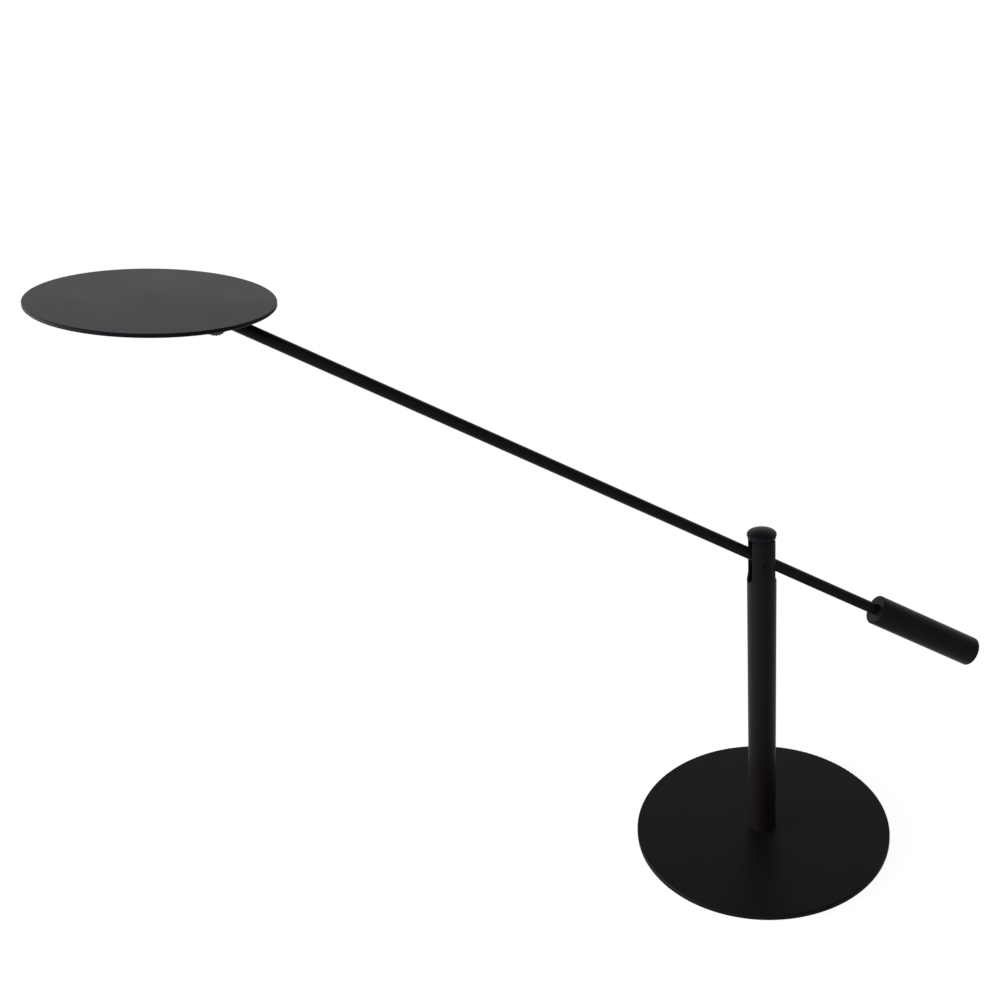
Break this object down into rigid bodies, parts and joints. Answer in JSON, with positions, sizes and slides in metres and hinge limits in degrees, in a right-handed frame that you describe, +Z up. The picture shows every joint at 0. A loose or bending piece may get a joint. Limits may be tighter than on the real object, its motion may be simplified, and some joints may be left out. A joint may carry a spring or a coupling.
{
  "type": "desk lamp",
  "caption": "Desk lamp with a round flat foot, a slotted tubular post, a see-saw arm with a cylindrical counterweight, and a thin disc head with a light unit under it.",
  "frame": {"origin": "centre of the underside of the round foot", "axes": "+Z up along the post; the arm lies in the XZ plane, with the head on the -X side and the counterweight on the +X side; the tension knob is on the -Y side"},
  "size_m": [0.6122, 0.2, 0.479],
  "materials": {
    "powder_black": "fine matte black powder coat on steel",
    "powder_black_aluminium": "fine matte black powder coat on aluminium",
    "black_oxide_steel": "black oxide screws, nuts and pins",
    "zinc_steel": "bright zinc plated steel inside the post",
    "black_nylon": "moulded black nylon with a fine texture",
    "acetal": "natural acetal friction discs",
    "foam_pad": "black closed-cell rubber pad",
    "lead_sheath": "black PVC sheath",
    "board_white": "aluminium-core board with a white solder mask",
    "led_phosphor": "yellow phosphor over the chips",
    "reflector_white": "white polycarbonate",
    "diffuser_opal": "satin opal acrylic"
  },
  "bodies": {
    "base": {"base_pad": "foam_pad", "base_plate": "powder_black", "base_screw": "zinc_steel", "base_pin": "zinc_steel", "foot_insert": "zinc_steel", "post_tube": "powder_black", "power_inlet": "black_nylon", "inlet_pin": "zinc_steel", "post_lead": "lead_sheath", "post_insert": "zinc_steel", "post_set_screw": "black_oxide_steel", "post_cap": "powder_black_aluminium", "cap_screw": "powder_black", "pivot_saddles": "acetal", "pivot_barrel": "powder_black", "pivot_screw": "powder_black"},
    "arm": {"pivot_hub": "powder_black", "hub_set_screw": "black_oxide_steel", "arm_tube": "powder_black", "arm_lead": "lead_sheath", "arm_knuckle": "powder_black", "counterweight": "powder_black", "weight_set_screw": "black_oxide_steel"},
    "head": {"head_bracket": "powder_black", "bracket_nuts": "black_oxide_steel", "hinge_washers": "acetal", "knob_washer": "acetal", "hinge_nut": "black_oxide_steel", "head_shell": "powder_black_aluminium", "lamp_cup": "powder_black_aluminium", "cup_nuts": "zinc_steel", "led_board": "board_white", "leds": "led_phosphor", "reflector": "reflector_white", "diffuser": "diffuser_opal", "bezel": "black_nylon"},
    "knob": {"hinge_screw": "black_oxide_steel", "tension_knob": "black_nylon"}
  },
  "joints": [
    {"name": "arm_tilt", "type": "hinge", "parent": "base", "child": "arm", "pos_m": [0, 0, 0.245], "axis": [0, 1, 0], "range_deg": [-55, 14]},
    {"name": "head_tilt", "type": "hinge", "parent": "arm", "child": "head", "pos_m": [-0.33811, 0, 0.45382], "axis": [0, 1, 0], "range_deg": [-90, 22]},
    {"name": "knob_turn", "type": "hinge", "parent": "head", "child": "knob", "pos_m": [-0.33811, 0, 0.45382], "axis": [0, 1, 0], "range_deg": [-90, 90]}
  ]
}
